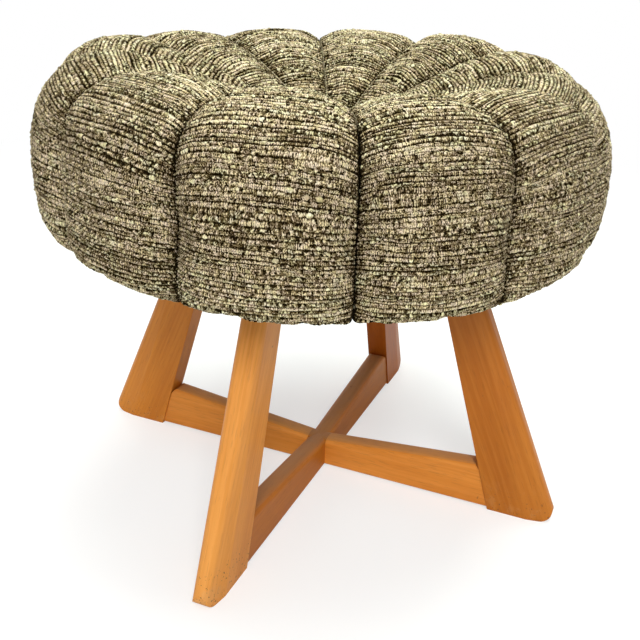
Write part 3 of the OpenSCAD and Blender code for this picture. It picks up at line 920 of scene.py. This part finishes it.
def knit(piece, channel):
    """Raises the rows, loops, knots and pleats of a channel's cloth, and a ridge along its upper seams."""
    mesh = threads_of(piece)
    chance = np.random.default_rng(channel.seed)
    points, cloth = points_of(mesh), cloth_of(mesh)
    normals = np.empty(len(mesh.vertices) * 3)
    mesh.vertex_normals.foreach_get("vector", normals)
    x, y = cloth[:, 0], cloth[:, 1] / row_pitch
    inset = inset_of(cloth, channel)
    stage = along("stage", crest_length_of(cloth, channel))
    shown = np.clip(inset / seam_hold, 0, 1) * np.clip(y / relief_rows, 0, 1)

    relief, loopy = yarn(x, y, stage, channel.seed, chance)
    knot_relief, knot, tint = slub_knots(x, y, channel.span, chance)
    relief = relief + knot_relief + pleats(points, cloth, y, channel.seed)
    ridge = np.clip(1 - inset / ridge_width, 0, 1) ** 0.5 * (inset > -0.0005)
    ridge = ridge * np.clip((ridge_end - stage) / ridge_fade, 0, 1) * np.clip(y / seam_mark_rows, 0, 1)
    points = points + normals.reshape(-1, 3) * (relief * shown)[:, None]
    points[:, 2] += ridge_height * ridge
    points = clear_of_board(between_seams(points, channel))
    mesh.vertices.foreach_set("co", points.ravel())

    cloth[:, 0] += panel_spacing * channel.number
    lay_cloth(mesh, mesh.uv_layers["weave"], cloth)
    # Painted shade along the seams and round the button, and a lighter ridge on the upper seams, for the
    # material
    seam_shade = np.clip(1 - inset / seam_shade_width, 0, 1) * np.clip(y / seam_mark_rows, 0, 1)
    button_shade = 1.3 * np.clip(1 - y / button_shade_rows, 0, 1)
    taut = np.clip((1.6 - stage) / 0.6, 0, 1) + 0.7 * np.clip((stage - 2.0) / 0.5, 0, 1)
    near_seam = seam_shade - 2.4 * ridge + button_shade
    values = {"loopy": loopy, "near_seam": near_seam, "taut": taut, "knot": knot, "knot_tint": tint}
    for name, value in values.items():
        set_attribute(mesh, name, value)
    mesh.update()


cream = (1.0, 0.925, 0.70, 1.0)
straw = (0.54, 0.455, 0.290, 1.0)
mauve_brown = (0.225, 0.175, 0.100, 1.0)
bark_brown = (0.080, 0.054, 0.020, 1.0)
dark_brown = (0.010, 0.006, 0.001, 1.0)
wind_length = 0.0011
loop_length = 0.0027
pink_cool, pink_warm = (1.0, 0.915, 0.93, 1.0), (1.0, 0.935, 0.76, 1.0)
green_cool, green_warm = (0.97, 1.0, 0.96, 1.0), (0.97, 1.0, 0.80, 1.0)


def boucle(name):
    """Boucle tweed in rows. The yarn is wound or looped, with painted light on its crowns and brown between
    them, partly painted shade.
    """
    f = Finish(name)
    weave = f.node("UVMap", {"uv_map": "weave"})
    x, y = f.axis(weave, 0), f.axis(weave, 1) / row_pitch
    looped, painted_seam_shade, taut = f.attribute("loopy"), f.attribute("near_seam"), f.attribute("taut")
    panel = (x / panel_spacing + 0.5).whole() * 57.0

    def scatter(across, along, shift=0.0, detail=2.0):
        """Noise over the cloth, with its own grain across and along the rows."""
        place = f.node("CombineXYZ", sockets={0: x * across + shift, 1: along})
        return f.noise(place, 1.0, detail=detail, kind="2D")

    wave = (scatter(330.0, y * 1.3) - 0.5) * 0.26 + (scatter(90.0, y * 0.5, shift=15.0) - 0.5) * 0.30
    wavy = y + 0.1 + wave
    row = wavy.whole() + panel
    part = wavy.fraction()
    line = (wavy + 0.5).whole() + panel
    row_chance = f.node("TexWhiteNoise", {"noise_dimensions": "1D"}, {"W": row}, output=0)
    line_chance = f.node("TexWhiteNoise", {"noise_dimensions": "1D"}, {"W": line + 0.3}, output=0)
    fuzz = scatter(780.0, y * 1.7)
    grit = scatter(1150.0, y * 3.1, shift=25.0)
    slow = scatter(40.0, row * 3.7)
    slow_line = scatter(34.0, line * 3.7, shift=9.0)

    # The crown of each row, and two thin crowns in some rows. The crowns get painted light.
    off = part.distance(0.5) * 2.0
    pair_off = (part * 2.0).fraction().distance(0.5) * 2.0
    doubled = row_chance.over(0.60, 0.61) * (1.0 - taut)
    off = off + doubled * (pair_off - off)
    crown = 1.0 - off * off
    deep = line_chance.over(0.35, 0.80) * slow_line.over(0.34, 0.52)
    groove = part.distance(0.5).over(0.30 - deep * 0.12 - taut * 0.10, 0.47 - taut * 0.04)

    # Ticks where the yarn is wound round its core
    spots = {"W": x / wind_length + row_chance * 53.0 + (fuzz - 0.5) * 1.4, "Scale": 1.0, "Randomness": 0.85}
    tick_off = f.node("TexVoronoi", {"voronoi_dimensions": "1D"}, spots, output="Distance")
    tick_tone = f.node("TexVoronoi", {"voronoi_dimensions": "1D"}, spots, output="Color")
    tick = (1.0 - tick_off.over(0.10, 0.50)) * (0.10 + 0.90 * f.axis(tick_tone, 0))
    wound = 0.21 + 0.20 * crown + 0.68 * tick * (1.0 - 0.25 * taut) + 0.9 * (slow - 0.5)
    wound = wound + (1.9 - 0.7 * taut) * (grit - 0.5) + 0.13 * taut

    # Loops where it is let out, each painted light in its middle and dark at its edge as painted shade
    loop_place = x / loop_length + row_chance * 31.0 + (fuzz - 0.5) * 1.6
    loop_place = f.node("CombineXYZ", sockets={0: loop_place, 1: wavy})
    spots = {"Vector": loop_place, "Scale": 1.0, "Randomness": 1.0}
    loop_off = f.node("TexVoronoi", {"voronoi_dimensions": "2D"}, spots, output="Distance")
    loop_tone = f.node("TexVoronoi", {"voronoi_dimensions": "2D"}, spots, output="Color")
    loop = (1.0 - loop_off.over(0.18, 0.70)) * (0.45 + 0.55 * f.axis(loop_tone, 0))
    let_out = 0.13 + 0.82 * loop + 0.12 * crown + 1.1 * (fuzz - 0.5) + 1.9 * (grit - 0.5)
    is_looped = looped.over(0.48, 0.78)
    tone = wound + is_looped * (let_out - wound)

    # Dark lines between the rows, partly painted shade, and dark spots, more of them by the seams.
    # Painted shade in the seams and round the button, and a lighter ridge on the upper seams
    spot = (scatter(330.0, y * 1.29, shift=40.0, detail=1.0) + painted_seam_shade.most(0.0) * 0.13).over(0.595, 0.665)
    broken = 0.55 + 0.45 * fuzz.over(0.42, 0.58).most(taut * 0.4)
    tone = tone - groove * (0.18 + 0.50 * deep.most(taut * 0.5)) * broken - spot * 0.5
    patch = scatter(12.0, y * 0.10, shift=90.0)
    tone = tone + 0.20 * (patch - 0.5) + 0.14 * ((row_chance * 7.3).fraction() - 0.5)
    tone = tone - painted_seam_shade * 0.20 - painted_seam_shade.over(0.60, 1.0) * (1.0 - fuzz).over(0.42, 0.58) * 0.25
    tone = (tone - 0.5) * 1.1 + 0.545 - painted_seam_shade.over(0.66, 0.95) * 0.32

    # Knots of pale slub yarn stand out of the cloth, each in a ring of painted shade
    knot, tint = f.attribute("knot"), f.attribute("knot_tint")
    ragged = knot + (fuzz - 0.5) * 0.9
    slub = 0.62 + 0.30 * tint + 0.70 * (fuzz - 0.5)
    tone = tone - ragged.over(0.08, 0.25) * 0.25
    tone = tone + ragged.over(0.35, 0.55) * (slub - tone)

    # The tones turned to colours, which drift between pinkish and greenish from place to place
    stops = [(0.0, dark_brown), (0.22, bark_brown), (0.48, mauve_brown), (0.74, straw), (1.0, cream)]
    colour = f.node("ValToRGB", {"stops": stops}, {"Fac": tone})
    drift = (scatter(60.0, y * 0.5, shift=70.0) - 0.5) * 3.0
    greener = (drift - 0.15 + is_looped * 0.5 + ragged.over(0.35, 0.55) + taut * 0.5).over(0.0, 1.0)
    yellower = (scatter(160.0, y * 0.8, shift=90.0) * 3.0 - 1.0).over(0.0, 1.0)
    hue = f.blend(greener, f.blend(yellower, pink_cool, pink_warm), f.blend(yellower, green_cool, green_warm))
    tinting = {"data_type": "RGBA", "blend_type": "MULTIPLY"}
    colour = f.node("Mix", tinting, {0: 1.0, 6: colour, 7: hue}, output=2)
    return f.surface(colour, 0.95, f.bump(0.9, 0.0010, tone), {"Specular IOR Level": 0.03})


boucle_cloth = boucle("boucle")
channels = {}
start = first_seam
for k, (span, swell, shoulder) in enumerate(zip(channel_spans, channel_swells, channel_shoulders)):
    channel = Channel(k + 1, start, span, swell, shoulder, first_seed + seed_step * k)
    place, cloth = channel_grid(channel)
    piece = channel_piece(f"channel_cover_{channel.number:02d}", place, cloth)
    channels[piece] = channel
    start += span
    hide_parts(f"channel_{channel.number:02d}")
    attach(piece, "root")
stuff(channels)
for piece, channel in channels.items():
    knit(piece, channel)
    piece.data.materials.clear()
    piece.data.materials.append(boucle_cloth)


# Hem. The channels' cloth is turned under the board, gathered and held by the hem tacks. It puffs
# a little between them.
hem_radius, hem_foot, hem_top = round_size("cover_hem")
hem_width = 0.032
hem_cell, hem_sides = 0.0025, 540
hem_side_gap, hem_face_gap = 0.0001, 0.00002
hem_inside, hem_outside = hem_radius - hem_width + hem_side_gap, hem_radius - hem_side_gap
hem_low, hem_high = hem_foot + hem_face_gap, hem_top - hem_face_gap
hem_tack_count = 30
hem_pleat_count = 90
hem_puff = 0.0016


def dress_in_cloth(piece, cloth, seed):
    """Gives a small piece of the same cloth its UV map, in metres, and its yarn."""
    mesh = piece.data
    lay_cloth(mesh, mesh.uv_layers.new(name="weave"), cloth)
    loopy = np.clip(0.42 + 0.9 * smooth_noise(cloth[:, 0] * 40, cloth[:, 1] / row_pitch, seed), 0, 1)
    set_attribute(mesh, "loopy", loopy)
    for name in ("near_seam", "taut", "knot", "knot_tint"):
        set_attribute(mesh, name, np.zeros(len(cloth)))
    mesh.materials.append(boucle_cloth)


outline = [(hem_inside, hem_low), (hem_outside, hem_low), (hem_outside, hem_high), (hem_inside, hem_high)]
hem_middle = hem_radius - hem_width / 2
hem = as_piece(spun(divided(outline, hem_cell), hem_sides), "hem_cloth")
points = points_of(hem.data)
radius, bearing = round_middle(points)
below = np.clip((hem_high - points[:, 2]) / (hem_high - hem_low), 0, 1)
inner = np.clip((radius - hem_inside) / (hem_outside - hem_inside), 0, 1)
puff = np.sin(bearing * hem_tack_count / 2) ** 2
pleat = puff * (0.5 + 0.5 * np.cos(bearing * hem_pleat_count + 3 * smooth_noise(bearing * 9, radius * 60, 5)))
points[:, 2] -= below * hem_puff * np.sin(inner * math.pi) ** 0.5 * (0.5 * puff + 0.5 * pleat)
hem.data.vertices.foreach_set("co", points.ravel())
dress_in_cloth(hem, np.stack([bearing * hem_middle, radius], axis=1), 7)
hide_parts("cover_hem")
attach(hem, "root")


# Button. A domed steel shell covered in the same cloth is drawn down by jute twine, which passes
# through the padding and the board and is knotted under a washer.
twine_radius = 0.00125
twine_twist = 150.0
twine_sides, twine_steps = 24, 64
twine_plies, ply_dent = 3, 0.14
twine_end_gap = 0.0002
knot_radius, knot_height = 0.0034, 0.0026
(_, _, twine_low), (_, _, twine_high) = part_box("button_twine")
(_, _, button_low), (_, _, button_high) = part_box("centre_button")
button_radius, _, _ = round_size("centre_button")
button_cell, button_sides, dome_steps = 0.0012, 96, 12
button_pleat_count, button_pleat_depth = 24, 0.025
button_pleat_start, button_pleat_reach = 0.009, 0.006
cloth_swell = 0.0004
jute_dark = (0.22, 0.14, 0.07, 1.0)
jute_pale = (0.58, 0.43, 0.25, 1.0)


def jute(name):
    """Twisted jute with loose hairs."""
    f = Finish(name)
    place = f.place()
    hair = f.noise(place, 2600.0, detail=3.0, roughness=0.7)
    colour = f.blend(hair, jute_dark, jute_pale)
    return f.surface(colour, 0.9, f.bump(0.8, 0.0003, hair))


rise = (twine_high - twine_low - 2 * twine_end_gap) / twine_steps
shape = bmesh.new()
bmesh.ops.create_circle(shape, segments=twine_sides, radius=twine_radius)
for vert in shape.verts:
    lobe = 1 - ply_dent + ply_dent * math.cos(twine_plies * math.atan2(vert.co.y, vert.co.x))
    vert.co = Vector((vert.co.x * lobe, vert.co.y * lobe, twine_low + twine_end_gap))
ring = shape.edges[:]
for _ in range(twine_steps):
    made = bmesh.ops.extrude_edge_only(shape, edges=ring)["geom"]
    ring = [item for item in made if isinstance(item, bmesh.types.BMEdge)]
    ends = [item for item in made if isinstance(item, bmesh.types.BMVert)]
    bmesh.ops.translate(shape, verts=ends, vec=(0, 0, rise))
    bmesh.ops.rotate(shape, verts=ends, cent=(0, 0, 0), matrix=Matrix.Rotation(rise * twine_twist, 3, "Z"))
    ring = [edge for edge in shape.edges if all(vert in ends for vert in edge.verts)]
bmesh.ops.holes_fill(shape, edges=[edge for edge in shape.edges if edge.is_boundary], sides=0)
knot = bmesh.ops.create_uvsphere(shape, u_segments=24, v_segments=12, radius=1.0)["verts"]
for vert in knot:
    wrap = 1 + 0.08 * math.sin(4 * math.atan2(vert.co.y, vert.co.x) + 5 * vert.co.z)
    across = knot_radius * wrap
    vert.co = Vector((vert.co.x * across, vert.co.y * across, vert.co.z * knot_height / 2))
    vert.co.z += twine_low + knot_height / 2
bmesh.ops.recalc_face_normals(shape, faces=shape.faces)
twine = as_piece(shape, "twine")
twine.data.materials.append(jute("jute_yarn"))
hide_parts("button_twine")
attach(twine, "root")

rim = (button_high - button_low) / 3
outline = [(0, button_low), (button_radius - rim / 2, button_low)]
for n in range(dome_steps):
    lean = math.pi / 2 * n / dome_steps
    dome = (button_high - button_low - rim) * math.sin(lean)
    outline.append((button_radius * math.cos(lean), button_low + rim + dome))
outline.append((0, button_high))
button = as_piece(spun(divided(outline, button_cell), button_sides), "button_cloth")
points = points_of(button.data)
radius, bearing = round_middle(points)
edge = np.clip((radius - button_pleat_start) / button_pleat_reach, 0, 1)
shrink = 1 - button_pleat_depth * edge * (0.5 + 0.5 * np.cos(bearing * button_pleat_count))
ridge = cloth_swell * np.abs(np.sin(points[:, 1] / row_pitch * math.pi)) * (points[:, 2] > button_low + 0.001)
points[:, :2] *= shrink[:, None]
points[:, 2] = np.maximum(points[:, 2] + ridge - cloth_swell, button_low)
button.data.vertices.foreach_set("co", points.ravel())
dress_in_cloth(button, points[:, :2] + 0.4, 11)
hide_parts("centre_button")
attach(button, "root")

# Sizes. The box round the dressed stool is measured.
low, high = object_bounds()
